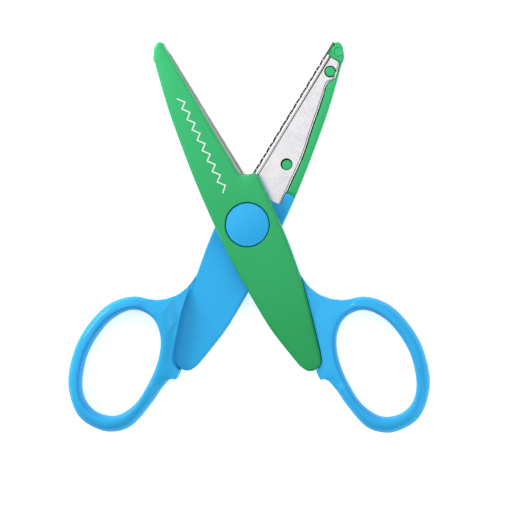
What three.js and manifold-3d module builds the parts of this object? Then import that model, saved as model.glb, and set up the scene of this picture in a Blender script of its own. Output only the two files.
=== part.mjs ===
// Decorative edge scissors lying open on a level surface. Millimetres, +Z up, tips towards +Y.
// Each half is drawn closed, seen from above: pivot at the origin, parting plane at z = 0, tip
// along +Y, finger loop towards +X. The rear half is the front half turned over about Y.
import * as THREE from "three";
import { mergeVertices } from "three/addons/utils/BufferGeometryUtils.js";
import Module from "manifold-3d";

const wasm = await Module();
wasm.setup();

// Driving dimensions.
const HALF_OPENING = THREE.MathUtils.degToRad(25); // each half is turned this far from closed
const REST_HEIGHT = 4.9; // parting plane above the surface: the cap and both loops touch it
const PARTING_GAP = 0.15; // from the parting plane to the inner face of a handle
const SEAT_Z = 1.95; // outer face of the handle body and of the steel plate
const SEAT_GAP = 0.05; // between the parts stacked on each other
const SHELL_TOP_Z = 4.5; // flat outer face of the shell
const SHELL_ROUNDING = 1.1; // rounding of the shell's outer edge
const STEEL = 0.55; // sheet thickness of a blade
const EDGE_OFFSET = 7.04; // the cutting edge's distance from the pivot
const EDGE_LEAN = THREE.MathUtils.degToRad(6.45); // the cutting edge's lean from +Y
const FLANGE_START = 12.8; // along the cutting edge, from the foot of the pivot's perpendicular
const FLANGE_END = 60;
const TEETH_START = 14.5;
const TOOTH_PITCH = 3.84;
const TOOTH_FLANKS = 21; // half pitches, so the row ends on the opposite flank
const TOOTH_HEIGHT = 0.85; // above and below the mean line
const TOOTH_CLEARANCE = 0.18; // from the shared zigzag to each blade's own teeth
const POSTS = [[-2.75, 52], [-2.75, 21.2]]; // moulded posts that hold the steel plate
const POST_RADIUS = 1.6;
const POST_END_Z = 1.1;
const POST_HOLES = [[-2.75, 52, 1.8], [-2.42, 21.25, 2.02]]; // place and radius; the lower one has play
const TIP_BLOCK_Y = 56.3; // the shell is full depth beyond this height
const TIP_BLOCK_Z = 0.35;
const WEB_Z = 3.2; // half thickness of the web between body and loop
const LOOP_Z = 4.9; // half thickness of the finger loop
const LOOP_ROUNDING = 1.7; // across the band, on each edge
const SHELL_HOLE_RADIUS = 6.75;
const CAP_RADIUS = 6.42;
const CAP_FLAT_RADIUS = 2.5;
const RIVET_RADIUS = 2.5;
const BORE_RADIUS = 2.58;
const WASHER_THICKNESS = 0.4;
const THRUST_RADIUS = 5;
const THRUST_HALF = 0.42;
const PEGS = [[0, -27], [-0.3, -39.5]]; // pegs on the handle that key into the shell
const PEG_RADIUS = 1.4;
const PEG_TOP_Z = 3.2;
const FACETS = 40; // round surfaces on the pivot
const MATE_CLEARANCE = 0.6; // between the web and the other half's body when closed

// Outlines of one half. The body narrows to a rounded end below the pivot.
const RIGHT_SIDE = [
  [9.15, 11.6], [9.15, 0], [8.85, -10], [8, -19.5], [6.6, -28.6], [5, -37], [3.5, -44.3],
];
const ROUND_END = [[2.3, -47], [0, -47.95], [-2.2, -47.2]];
const LEFT_SIDE = [
  [-3.7, -44.8], [-5.3, -38.6], [-7.05, -30.5], [-8.15, -19.5], [-8.95, -10], [-9.2, 0],
];
const SHELL_BLADE_SIDE = [
  [-9.05, 13], [-8.65, 22.2], [-8, 31], [-7.2, 40], [-6.1, 48], [-5, 54.6], [-4.45, 57.4],
  [-3.4, 59.4],
];
const SHELL_TIP = [[-2.4, 60.5], [-1.3, 60.87], [-0.4, 60.15]];
const PLATE_OUTLINE = [
  [-5.6, 9.6], [-5.95, 24.3], [-5, 33.1], [-3.85, 44.4], [-3.35, 47.4], [-3.4, 49], [-4.55, 50.3],
  [-4.92, 51], [-4.7, 53.5], [-4, 55.5], [-1.1, 56],
];
const LOOP_OUTSIDE = [
  [31.9, -54], [30.7, -45.4], [27.8, -38.8], [22.7, -34.2], [16.8, -33], [10.8, -35.1],
  [5.5, -41.6], [3.2, -48], [3, -54], [4, -61.4], [6.6, -69.8], [11.5, -74], [17.2, -74.9],
  [22.5, -73.6], [27.3, -69.1], [30.4, -63.2],
];
const LOOP_INSIDE = [
  [27.7, -54], [26.97, -47.9], [25.2, -42.8], [21.6, -38.35], [17.2, -37.05], [12.8, -38.4],
  [9.1, -43], [7.3, -50], [7.35, -58], [8.5, -63.7], [11.9, -68.7], [17.2, -70.4], [22, -68.9],
  [25.2, -65.1], [27.1, -59.4],
];
const WEB_TOP = [[5, -20.5], [8.05, -21.2], [8.6, -24.4], [10.3, -27.7], [12.7, -30.2], [16, -32.2]];
const WEB_REST = [
  [18.5, -35], [13, -36.5], [8, -42], [5.3, -48], [5, -56], [3.6, -56.5], [2.6, -52.6],
  [1.4, -51.4], [0.1, -51.3], [0.1, -46], [3, -30],
];

const GREEN = new THREE.Color(0x3cb46e);
const BLUE = new THREE.Color(0x2f9fe6);
const STEEL_GREY = new THREE.Color(0xc9cbd0);
const NYLON = new THREE.Color(0xe8e6de);

function vectors(points) {
  return points.map(([x, y]) => new THREE.Vector2(x, y));
}

// An open smooth run through the given points.
function smooth(points, count) {
  const curve = new THREE.SplineCurve(vectors(points));
  return curve.getPoints(count);
}

// A closed smooth outline through the given points.
function smoothLoop(points, count) {
  const knots = points.map(([x, y]) => new THREE.Vector3(x, y, 0));
  const curve = new THREE.CatmullRomCurve3(knots, true);
  return curve.getPoints(count).slice(0, count).map((p) => new THREE.Vector2(p.x, p.y));
}

// The outline moved outwards by a distance, vertex by vertex.
function grown(outline, distance) {
  const turn = THREE.ShapeUtils.isClockWise(outline) ? -1 : 1;
  return outline.map((point, i) => {
    const before = outline[(i + outline.length - 1) % outline.length];
    const after = outline[(i + 1) % outline.length];
    const along = after.clone().sub(before).normalize();
    return new THREE.Vector2(point.x + turn * along.y * distance, point.y - turn * along.x * distance);
  });
}

function mirrored(outline) {
  return outline.map((p) => new THREE.Vector2(-p.x, p.y)).reverse();
}

// A closed three.js geometry as a solid that can be joined and cut.
function solid(geometry) {
  const bare = geometry.clone();
  bare.deleteAttribute("normal");
  bare.deleteAttribute("uv");
  const welded = mergeVertices(bare, 1e-4);
  const mesh = new wasm.Mesh({
    numProp: 3,
    vertProperties: new Float32Array(welded.attributes.position.array),
    triVerts: new Uint32Array(welded.index.array),
  });
  return new wasm.Manifold(mesh);
}

function geometryOf(body) {
  const mesh = body.getMesh();
  const geometry = new THREE.BufferGeometry();
  geometry.setAttribute("position", new THREE.BufferAttribute(mesh.vertProperties, 3));
  geometry.setIndex(new THREE.BufferAttribute(mesh.triVerts, 1));
  geometry.computeVertexNormals();
  return geometry;
}

// A straight-sided slab of an outline between two heights.
function slab(outline, low, high) {
  const shape = new THREE.Shape(outline);
  const geometry = new THREE.ExtrudeGeometry(shape, { depth: high - low, bevelEnabled: false });
  geometry.translate(0, 0, low);
  return solid(geometry);
}

// A slab with rounded edges top and bottom; an inner outline makes it a ring.
function roundedSlab(outline, low, high, across, tall, steps, hole) {
  const shape = new THREE.Shape(outline);
  if (hole) {
    shape.holes.push(new THREE.Path(hole));
  }
  const geometry = new THREE.ExtrudeGeometry(shape, {
    depth: high - low - 2 * tall,
    bevelEnabled: true,
    bevelSize: across,
    bevelOffset: -across,
    bevelThickness: tall,
    bevelSegments: steps,
  });
  geometry.translate(0, 0, low + tall);
  return solid(geometry);
}

function cylinder(radius, low, high, x, y, facets) {
  const geometry = new THREE.CylinderGeometry(radius, radius, high - low, facets);
  geometry.rotateX(Math.PI / 2);
  geometry.translate(x, y, (low + high) / 2);
  return solid(geometry);
}

function lathe(profile, facets) {
  const geometry = new THREE.LatheGeometry(vectors(profile), facets);
  geometry.rotateX(Math.PI / 2);
  return solid(geometry);
}

// A point given along the cutting edge and away from the pivot.
function edgePoint(along, away) {
  const x = away * Math.cos(EDGE_LEAN) - along * Math.sin(EDGE_LEAN);
  const y = away * Math.sin(EDGE_LEAN) + along * Math.cos(EDGE_LEAN);
  return new THREE.Vector2(x, y);
}

function handleBodyOutline() {
  return [
    ...vectors([[5.8, 9.25], [5.8, 12.7], [8.2, 12.8]]),
    ...smooth(RIGHT_SIDE, 12),
    ...smooth(ROUND_END, 6),
    ...smooth(LEFT_SIDE, 10),
    ...vectors([[-9.15, 12.4], [-8.5, 13.5], [-6.1, 13.5], [-6.1, 9.25]]),
  ];
}

function shellOutline() {
  const cutSide = [edgePoint(58, 6.4), edgePoint(15.4, 5.85)];
  const shoulder = vectors([[5, 13.95], [8.2, 13.3], [9, 12.5]]);
  return [
    ...smooth(RIGHT_SIDE, 12),
    ...smooth(ROUND_END, 6),
    ...smooth([...LEFT_SIDE, ...SHELL_BLADE_SIDE], 22),
    ...vectors(SHELL_TIP),
    ...cutSide,
    ...shoulder,
  ];
}

function shell() {
  const outline = shellOutline();
  const inner = SEAT_Z + SEAT_GAP;
  const cover = roundedSlab(outline, 0, SHELL_TOP_Z, SHELL_ROUNDING, SHELL_ROUNDING, 3);
  const below = slab(vectors([[-40, -80], [40, -80], [40, 80], [-40, 80]]), -1, inner);
  const edgeRoom = slab(
    [edgePoint(FLANGE_START, 6.3), edgePoint(FLANGE_START, 9), edgePoint(62, 9), edgePoint(62, 6.3)],
    -1,
    inner,
  );
  const tipZone = slab(vectors([[-8, TIP_BLOCK_Y], [8, TIP_BLOCK_Y], [8, 70], [-8, 70]]), -1, 3);
  const tipBlock = slab(outline, TIP_BLOCK_Z, inner + 0.1).intersect(tipZone).subtract(edgeRoom);
  let body = cover.subtract(below).add(tipBlock);
  body = body.subtract(cylinder(1.05, 0, TIP_BLOCK_Z + 0.35, -2.25, 58.5, 20));
  body = body.subtract(cylinder(SHELL_HOLE_RADIUS, 0, 9, 0, 0, FACETS));
  for (const [x, y] of POSTS) {
    body = body.add(cylinder(POST_RADIUS, POST_END_Z, inner + 0.1, x, y, 24));
  }
  for (const [x, y] of PEGS) {
    body = body.subtract(cylinder(PEG_RADIUS + 0.12, 1, PEG_TOP_Z + 0.1, x, y, 24));
  }
  return body;
}

function handle() {
  const body = slab(handleBodyOutline(), PARTING_GAP, SEAT_Z);
  const web = roundedSlab([...smooth(WEB_TOP, 9), ...vectors(WEB_REST)], -WEB_Z, WEB_Z, 0.5, 0.5, 1);
  const loop = roundedSlab(
    smoothLoop(LOOP_OUTSIDE, 42), -LOOP_Z, LOOP_Z, LOOP_ROUNDING, LOOP_Z - 0.4, 3,
    smoothLoop(LOOP_INSIDE, 38),
  );
  const mateRoom = slab(grown(mirrored(handleBodyOutline()), MATE_CLEARANCE), -9, PARTING_GAP);
  const shellRoom = slab(grown(handleBodyOutline(), 0.15), SEAT_Z, 9);
  let made = web.add(loop).subtract(mateRoom).subtract(shellRoom).add(body);
  made = made.subtract(cylinder(BORE_RADIUS, -9, 9, 0, 0, FACETS));
  made = made.subtract(cylinder(THRUST_RADIUS + 0.2, -1, THRUST_HALF + SEAT_GAP, 0, 0, FACETS));
  for (const [x, y] of PEGS) {
    made = made.add(cylinder(PEG_RADIUS, SEAT_Z - 0.2, PEG_TOP_Z, x, y, 24));
  }
  return made;
}

// The bent flange seen square on: along the edge, and in height, with its toothed free edge.
function flangeProfile(side) {
  const points = [[FLANGE_START, SEAT_Z], [FLANGE_START, TOOTH_CLEARANCE], [TEETH_START, TOOTH_CLEARANCE]];
  const half = TOOTH_PITCH / 2;
  for (let i = 0; i < TOOTH_FLANKS; i += 1) {
    const sign = i % 2 === 0 ? side : -side;
    points.push([TEETH_START + (i + 0.5) * half, TOOTH_CLEARANCE + sign * TOOTH_HEIGHT]);
  }
  points.push([TEETH_START + TOOTH_FLANKS * half, TOOTH_CLEARANCE]);
  points.push([FLANGE_END, TOOTH_CLEARANCE], [FLANGE_END, SEAT_Z]);
  return vectors(points);
}

// One blade: a flat plate with its cutting edge bent down at a right angle.
function blade(side) {
  const flange = new THREE.ExtrudeGeometry(new THREE.Shape(flangeProfile(side)), {
    depth: STEEL,
    bevelEnabled: false,
  });
  flange.rotateX(Math.PI / 2);
  flange.rotateZ(Math.PI / 2);
  flange.translate(EDGE_OFFSET - STEEL, 0, 0);
  flange.rotateZ(EDGE_LEAN);
  const outline = [
    ...vectors(PLATE_OUTLINE),
    edgePoint(55.2, EDGE_OFFSET - STEEL / 2),
    edgePoint(FLANGE_START, EDGE_OFFSET - STEEL / 2),
    ...vectors([[5.3, 12.4], [5.2, 9.6]]),
  ];
  let plate = slab(outline, SEAT_Z - STEEL, SEAT_Z);
  for (const [x, y, radius] of POST_HOLES) {
    plate = plate.subtract(cylinder(radius, 0, 9, x, y, 24));
  }
  return plate.add(solid(flange));
}

function pivotCap() {
  const seat = SEAT_Z + SEAT_GAP;
  return lathe(
    [
      [0, 3.95], [5, 3.95], [5.2, 3.8], [5.2, seat], [CAP_RADIUS, seat], [CAP_RADIUS, 4],
      [6.25, 4.32], [5.8, 4.54], [4.9, 4.72], [3.8, 4.84], [CAP_FLAT_RADIUS, REST_HEIGHT],
      [0, REST_HEIGHT],
    ],
    FACETS,
  );
}

// The rivet runs through both halves: a formed head at the rear, a peened one in front.
function rivet() {
  const seat = SEAT_Z + SEAT_GAP;
  const peened = seat + WASHER_THICKNESS + 0.02;
  return lathe(
    [
      [0, -3], [3.7, -3], [4, -2.7], [4, -seat], [RIVET_RADIUS, -seat], [RIVET_RADIUS, peened],
      [3.6, peened], [3.4, 2.95], [2.4, 3.3], [0, 3.45],
    ],
    FACETS,
  );
}

function ring(inner, outer, low, high) {
  return cylinder(outer, low, high, 0, 0, FACETS).subtract(cylinder(inner, -9, 9, 0, 0, FACETS));
}

function piece(name, body, color, roughness, metalness) {
  const material = new THREE.MeshStandardMaterial({ color, roughness, metalness });
  const mesh = new THREE.Mesh(geometryOf(body), material);
  mesh.name = name;
  return mesh;
}

function half(prefix, side) {
  const group = new THREE.Group();
  group.add(piece(prefix + "_shell", shell(), GREEN, 0.38, 0));
  group.add(piece(prefix + "_handle", handle(), BLUE, 0.32, 0));
  group.add(piece(prefix + "_blade", blade(side), STEEL_GREY, 0.3, 1));
  group.add(piece(prefix + "_pivot_cap", pivotCap(), BLUE, 0.32, 0));
  group.position.z = REST_HEIGHT;
  return group;
}

function pivotHardware() {
  const group = new THREE.Group();
  const seat = SEAT_Z + SEAT_GAP;
  group.add(piece("pivot_rivet", rivet(), STEEL_GREY, 0.35, 1));
  group.add(piece("rivet_washer", ring(2.7, 4.7, seat, seat + WASHER_THICKNESS), STEEL_GREY, 0.35, 1));
  group.add(piece("thrust_washer", ring(2.7, THRUST_RADIUS, -THRUST_HALF, THRUST_HALF), NYLON, 0.5, 0));
  group.position.z = REST_HEIGHT;
  return group;
}

const scissors = new THREE.Group();
const front = half("front", 1);
front.rotation.z = HALF_OPENING;
const rear = half("rear", -1);
rear.rotation.set(0, Math.PI, -HALF_OPENING, "ZYX");
scissors.add(front, rear, pivotHardware());

export default scissors;
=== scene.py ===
import logging
import math
from dataclasses import dataclass
from enum import Enum

import bmesh
import bpy
import numpy as np
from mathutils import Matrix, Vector


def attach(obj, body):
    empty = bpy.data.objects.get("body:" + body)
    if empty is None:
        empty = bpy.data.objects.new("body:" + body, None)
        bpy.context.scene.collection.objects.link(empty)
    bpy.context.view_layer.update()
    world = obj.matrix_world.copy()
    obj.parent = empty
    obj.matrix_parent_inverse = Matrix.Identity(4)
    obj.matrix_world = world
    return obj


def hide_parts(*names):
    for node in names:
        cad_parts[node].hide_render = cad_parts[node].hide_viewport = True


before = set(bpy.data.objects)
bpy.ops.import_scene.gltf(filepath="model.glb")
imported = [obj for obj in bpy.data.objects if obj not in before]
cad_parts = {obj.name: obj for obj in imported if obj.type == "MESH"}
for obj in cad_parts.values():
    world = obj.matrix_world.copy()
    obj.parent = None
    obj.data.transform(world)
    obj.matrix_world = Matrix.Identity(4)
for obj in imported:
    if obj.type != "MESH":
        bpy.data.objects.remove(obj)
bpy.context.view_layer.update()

log = logging.getLogger("scissors")
Array = np.ndarray

MM = 0.001
REST_HEIGHT = 4.9  # parting plane above the floor
HALF_OPENING = math.radians(25.0)
EDGE_LEAN = math.radians(6.45)
EDGE_OFFSET = 7.04  # cutting edge from the pivot
BODY_IN = 0.15  # inner face of a handle body, from the parting plane
BODY_OUT = 1.95  # outer face of a handle body and of a steel plate
SHEET = 0.55  # blade sheet thickness

# The outline of one half, drawn closed: pivot at the origin, tip along +Y, loop towards +X.
RIGHT_SIDE = ((9.15, 11.6), (9.15, 0), (8.85, -10), (8, -19.5), (6.6, -28.6), (5, -37), (3.5, -44.3))
ROUND_END = ((2.3, -47), (0, -47.95), (-2.2, -47.2))
LEFT_SIDE = ((-3.7, -44.8), (-5.3, -38.6), (-7.05, -30.5), (-8.15, -19.5), (-8.95, -10), (-9.2, 0))
BLADE_SIDE = (
    (-9.05, 13), (-8.65, 22.2), (-8, 31), (-7.2, 40), (-6.1, 48), (-5, 54.6), (-4.45, 57.4),
    (-3.4, 59.4),
)
LOOP_OUTSIDE = (
    (31.9, -54), (30.7, -45.4), (27.8, -38.8), (22.7, -34.2), (16.8, -33), (10.8, -35.1),
    (5.5, -41.6), (3.2, -48), (3, -54), (4, -61.4), (6.6, -69.8), (11.5, -74), (17.2, -74.9),
    (22.5, -73.6), (27.3, -69.1), (30.4, -63.2),
)
LOOP_INSIDE = (
    (27.7, -54), (26.97, -47.9), (25.2, -42.8), (21.6, -38.35), (17.2, -37.05), (12.8, -38.4),
    (9.1, -43), (7.3, -50), (7.35, -58), (8.5, -63.7), (11.9, -68.7), (17.2, -70.4), (22, -68.9),
    (25.2, -65.1), (27.1, -59.4),
)
LOOP_CENTRE = (17.4, -54.0)
POSTS = ((-2.75, 52.0), (-2.8, 21.15))
POST_HOLES = ((-2.75, 52.0, 1.8), (-2.57, 21.29, 1.8))
# The steel plate's back edge, from its root to the tip block.
PLATE_BACK = (
    (-5.93, 9.3), (-5.95, 24.3), (-5, 33.1), (-3.85, 44.4), (-3.4, 47.0), (-3.38, 48.3), (-3.75, 49.3),
    (-4.5, 50.1), (-4.85, 50.9), (-4.82, 52.2), (-4.5, 54.4), (-4.0, 55.9),
)


class Half(Enum):
    """The two halves: the rear one is the front one turned over about Y."""

    FRONT = "front"
    REAR = "rear"

    @property
    def body(self) -> str:
        """The CAD body that the half's pieces ride on."""
        return f"{self.value}_half"

    @property
    def tooth_side(self) -> int:
        """Which way the first tooth points, so that the two rows mesh."""
        return 1 if self is Half.FRONT else -1

    def place(self, points: Array) -> Array:
        """Take points of the closed half into the open object.

        Args:
            points: positions in millimetres, shape (n, 3).

        Returns:
            The same points in metres: turned over for the rear half, opened, and raised.
        """
        x, y, z = points[:, 0], points[:, 1], points[:, 2]
        angle = HALF_OPENING
        if self is Half.REAR:
            x, z, angle = -x, -z, -HALF_OPENING
        c, s = math.cos(angle), math.sin(angle)
        return np.column_stack((x * c - y * s, x * s + y * c, z + REST_HEIGHT)) * MM


# ---------------------------------------------------------------- curves


def spline(knots: Array, per_span: int, closed: bool = False) -> Array:
    """Catmull-Rom curve: on each span, the cubic whose end slopes join the neighbouring knots.

    Args:
        knots: points to pass through, shape (n, k).
        per_span: samples on each span.
        closed: whether the last knot joins the first.

    Returns:
        Points along the curve; an open one ends on its last knot.
    """
    p = np.asarray(knots, dtype=float)
    if closed:
        p0, p1, p2, p3 = (np.roll(p, shift, axis=0) for shift in (1, 0, -1, -2))
    else:
        padded = np.vstack((p[:1], p, p[-1:]))
        p0, p1, p2, p3 = padded[:-3], padded[1:-2], padded[2:-1], padded[3:]
    t = (np.arange(per_span) / per_span)[None, :, None]
    p0, p1, p2, p3 = (q[:, None, :] for q in (p0, p1, p2, p3))
    cubic = 0.5 * (
        2 * p1
        + (p2 - p0) * t
        + (2 * p0 - 5 * p1 + 4 * p2 - p3) * t**2
        + (3 * p1 - p0 - 3 * p2 + p3) * t**3
    )
    points = cubic.reshape(-1, p.shape[1])
    return points if closed else np.vstack((points, p[-1:]))


def lengths(points: Array) -> Array:
    """Distance travelled along a polyline at each of its points, starting at 0."""
    steps = np.linalg.norm(np.diff(points, axis=0), axis=1)
    return np.concatenate(([0.0], np.cumsum(steps)))


def along(points: Array, stations: Array) -> Array:
    """Points of a polyline at given distances travelled along it."""
    reach = lengths(points)
    return np.column_stack([np.interp(stations, reach, points[:, k]) for k in range(points.shape[1])])


def inward(outline: Array) -> Array:
    """Unit normals of a closed anticlockwise outline, pointing into it.

    Args:
        outline: shape (n, 2).

    Returns:
        At each point, the chord between its neighbours turned a quarter to the left.
    """
    chord = np.roll(outline, -1, axis=0) - np.roll(outline, 1, axis=0)
    chord /= np.maximum(np.linalg.norm(chord, axis=1, keepdims=True), 1e-9)
    return np.column_stack((-chord[:, 1], chord[:, 0]))


def distance_to(points: Array, outline: Array) -> Array:
    """Shortest distance from each point to a closed outline.

    Args:
        points: shape (n, 2).
        outline: shape (m, 2).

    Returns:
        For each point, the least distance to any segment, shape (n,).
    """
    a = outline[None, :, :]
    b = np.roll(outline, -1, axis=0)[None, :, :]
    best = []
    for block in np.array_split(points, max(1, len(points) // 2000)):
        p = block[:, None, :]
        ab = b - a
        t = np.clip(((p - a) * ab).sum(2) / np.maximum((ab**2).sum(2), 1e-12), 0, 1)
        best.append(np.linalg.norm(p - a - ab * t[..., None], axis=2).min(axis=1))
    return np.concatenate(best)


def edge_to_plan(along_edge: Array, away: Array) -> Array:
    """Points given along the cutting edge and away from the pivot, in plan."""
    c, s = math.cos(EDGE_LEAN), math.sin(EDGE_LEAN)
    return np.stack((away * c - along_edge * s, away * s + along_edge * c), axis=-1)


# ---------------------------------------------------------------- meshes


class Skin:
    """A closed surface gathered from grids, welded where their edges meet."""

    def __init__(self) -> None:
        """Start with no surface."""
        self.points: list[Array] = []
        self.quads: list[Array] = []
        self.finishes: list[Array] = []
        self.caps: list[Array] = []
        self.count = 0

    def grid(
        self,
        p: Array,
        wrap_u: bool = False,
        wrap_v: bool = False,
        flip: bool = False,
        finish: "int | Array" = 0,
    ) -> None:
        """Add a grid of points as quads.

        Args:
            p: positions, shape (u, v, 3).
            wrap_u: whether the last row joins the first.
            wrap_v: whether the last column joins the first.
            flip: whether the quads face the other way.
            finish: which of the piece's materials the quads wear, one number or one for each.
        """
        nu, nv = p.shape[:2]
        index = np.arange(nu * nv).reshape(nu, nv) + self.count
        if wrap_u:
            index = np.vstack((index, index[:1]))
        if wrap_v:
            index = np.hstack((index, index[:, :1]))
        a, b, c, d = index[:-1, :-1], index[1:, :-1], index[1:, 1:], index[:-1, 1:]
        order = (a, d, c, b) if flip else (a, b, c, d)
        self.quads.append(np.stack(order, axis=-1).reshape(-1, 4))
        self.finishes.append(np.broadcast_to(finish, a.shape).reshape(-1))
        self.points.append(p.reshape(-1, 3))
        self.count += nu * nv

    def cap(self, outline: Array, flip: bool = False) -> None:
        """Add one flat many-sided face.

        Args:
            outline: its corners, anticlockwise seen from where it faces, shape (n, 3).
            flip: whether it faces the other way.
        """
        index = np.arange(len(outline)) + self.count
        self.caps.append(index[::-1] if flip else index)
        self.points.append(outline)
        self.count += len(outline)

    def welded(self) -> tuple[Array, list[list[int]], Array]:
        """Merge points that coincide and drop the sides that this closes.

        Returns:
            The points in millimetres, the faces, each with three or four corners, and the
            number of each face's finish.
        """
        p = np.vstack(self.points)
        quads = np.vstack(self.quads)
        _, first, inverse = np.unique(np.round(p, 4), axis=0, return_index=True, return_inverse=True)
        inverse = inverse.reshape(-1)
        quads = inverse[quads]
        same = quads == np.roll(quads, -1, axis=1)
        cross = (quads[:, 0] == quads[:, 2]) | (quads[:, 1] == quads[:, 3])
        whole = quads[(same.sum(1) == 0) & ~cross]
        pinched = quads[(same.sum(1) == 1) & ~cross]
        keep = ~same[(same.sum(1) == 1) & ~cross]
        triangles = pinched[keep].reshape(-1, 3)
        worn = np.concatenate(self.finishes)
        kept = (worn[(same.sum(1) == 0) & ~cross], worn[(same.sum(1) == 1) & ~cross])
        finish = np.concatenate(kept + (np.zeros(len(self.caps)),)).astype(np.int32)
        flat = [inverse[index].tolist() for index in self.caps]
        return p[first], whole.tolist() + triangles.tolist() + flat, finish


def mesh_object(name: str, skin: Skin, half: Half, sharp: float = 38.0) -> bpy.types.Object:
    """Make a Blender object from a skin, in its place in the open object.

    Args:
        name: the object's name.
        skin: the surface, in the closed half's millimetres.
        half: which half it belongs to.
        sharp: the angle in degrees past which an edge is left crisp.

    Returns:
        The new object, linked to the scene.
    """
    points, faces, finish = skin.welded()
    mesh = bpy.data.meshes.new(name)
    mesh.from_pydata(half.place(points).tolist(), [], faces)
    shape = bmesh.new()
    shape.from_mesh(mesh)
    bmesh.ops.recalc_face_normals(shape, faces=shape.faces)
    shape.to_mesh(mesh)
    shape.free()
    mesh.polygons.foreach_set("material_index", finish)
    mesh.update()
    mesh.validate()
    mesh.shade_smooth()
    mesh.set_sharp_from_angle(angle=math.radians(sharp))
    obj = bpy.data.objects.new(name, mesh)
    bpy.context.scene.collection.objects.link(obj)
    return obj


def rounded_profile(low: float, high: float, radius: float, steps: int = 4) -> Array:
    """The edge of a slab, from its lower face's rim up to its upper face's rim.

    Args:
        low: height of the lower face.
        high: height of the upper face.
        radius: radius of both quarter circles.
        steps: sides to each quarter circle.

    Returns:
        Pairs of distance inwards and height, shape (n, 2).
    """
    a = np.linspace(0, math.pi / 2, steps + 1)
    foot = np.column_stack((radius * (1 - np.sin(a)), low + radius * (1 - np.cos(a))))
    head = np.column_stack((radius * (1 - np.cos(a)), high - radius + radius * np.sin(a)))
    return np.vstack((foot, head))


def slab(skin: Skin, outline: Array, low: float, high: float, radius: float, bore: float = 0.0) -> None:
    """Add a slab with rounded edges: its edge profile is carried round the outline.

    A bore round the origin divides both flat faces along the X axis, into a far and a near part.

    Args:
        skin: the surface to add to.
        outline: closed and anticlockwise, shape (n, 2).
        low: height of the lower face.
        high: height of the upper face.
        radius: rounding of its edges.
        bore: radius of the bore, or 0 for none.
    """
    normal = inward(outline)
    profile = rounded_profile(low, high, radius)
    margin = 0.05
    profile = np.vstack(((profile[0, 0] + margin, low), profile, (profile[-1, 0] + margin, high)))
    rim = outline[:, None, :] + normal[:, None, :] * profile[None, :, :1]
    edge = np.dstack((rim, np.broadcast_to(profile[None, :, 1], rim.shape[:2])))
    skin.grid(edge, wrap_u=True)
    if not bore:
        skin.cap(edge[:, 0], flip=True)
        skin.cap(edge[:, -1])
        return
    half = 48
    turn = np.linspace(0, 2 * math.pi, 2 * half, endpoint=False)
    circle = bore * np.column_stack((np.cos(turn), np.sin(turn)))
    wall = np.stack([np.column_stack((circle, np.full(2 * half, z))) for z in (low, high)], axis=1)
    skin.grid(wall, wrap_u=True, flip=True)
    for column, flip in ((0, True), (-1, False)):
        ring = edge[:, column]
        from_axis = np.abs(ring[:, 1])
        right = int(np.argmin(np.where(ring[:, 0] > 0, from_axis, np.inf)))
        left = int(np.argmin(np.where(ring[:, 0] < 0, from_axis, np.inf)))
        ring = np.roll(ring, -right, axis=0)
        left = (left - right) % len(ring)
        hole = wall[:, column]
        skin.cap(np.vstack((ring[: left + 1], hole[: half + 1][::-1])), flip)
        skin.cap(np.vstack((ring[left:], ring[:1], hole[:1], hole[half:][::-1])), flip)


def disc_stack(
    skin: Skin, profile: Array, centre: tuple[float, float], sides: int = 64, finish: int = 0
) -> None:
    """Add a turned shape: a profile of radius and height spun about an upright axis.

    Args:
        skin: the surface to add to.
        profile: pairs of radius and height, from the lower middle outwards and up.
        centre: the axis in plan.
        sides: steps round the axis.
        finish: which of the piece's materials it wears.
    """
    turn = np.linspace(0, 2 * math.pi, sides, endpoint=False)[:, None]
    x = centre[0] + profile[None, :, 0] * np.cos(turn)
    y = centre[1] + profile[None, :, 0] * np.sin(turn)
    z = np.broadcast_to(profile[None, :, 1], x.shape)
    skin.grid(np.dstack((x, y, z)), wrap_u=True, finish=finish)


# ---------------------------------------------------------------- materials


class Socket:
    """A node output that Python's arithmetic turns into Math nodes."""

    def __init__(self, tree: bpy.types.NodeTree, output: bpy.types.NodeSocket) -> None:
        """Wrap an output socket of a node tree."""
        self.tree = tree
        self.output = output

    def _math(self, operation: str, *values: "Socket | float") -> "Socket":
        """Add a Math node with the given operation and inputs."""
        return Shading(self.tree).node("ShaderNodeMath", {"operation": operation}, list(values))

    def __add__(self, other: "Socket | float") -> "Socket":
        """Sum."""
        return self._math("ADD", self, other)

    def __sub__(self, other: "Socket | float") -> "Socket":
        """Difference."""
        return self._math("SUBTRACT", self, other)

    def __rsub__(self, other: float) -> "Socket":
        """Difference from a number."""
        return self._math("SUBTRACT", other, self)

    def __mul__(self, other: "Socket | float") -> "Socket":
        """Product."""
        return self._math("MULTIPLY", self, other)

    __radd__ = __add__
    __rmul__ = __mul__


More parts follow.
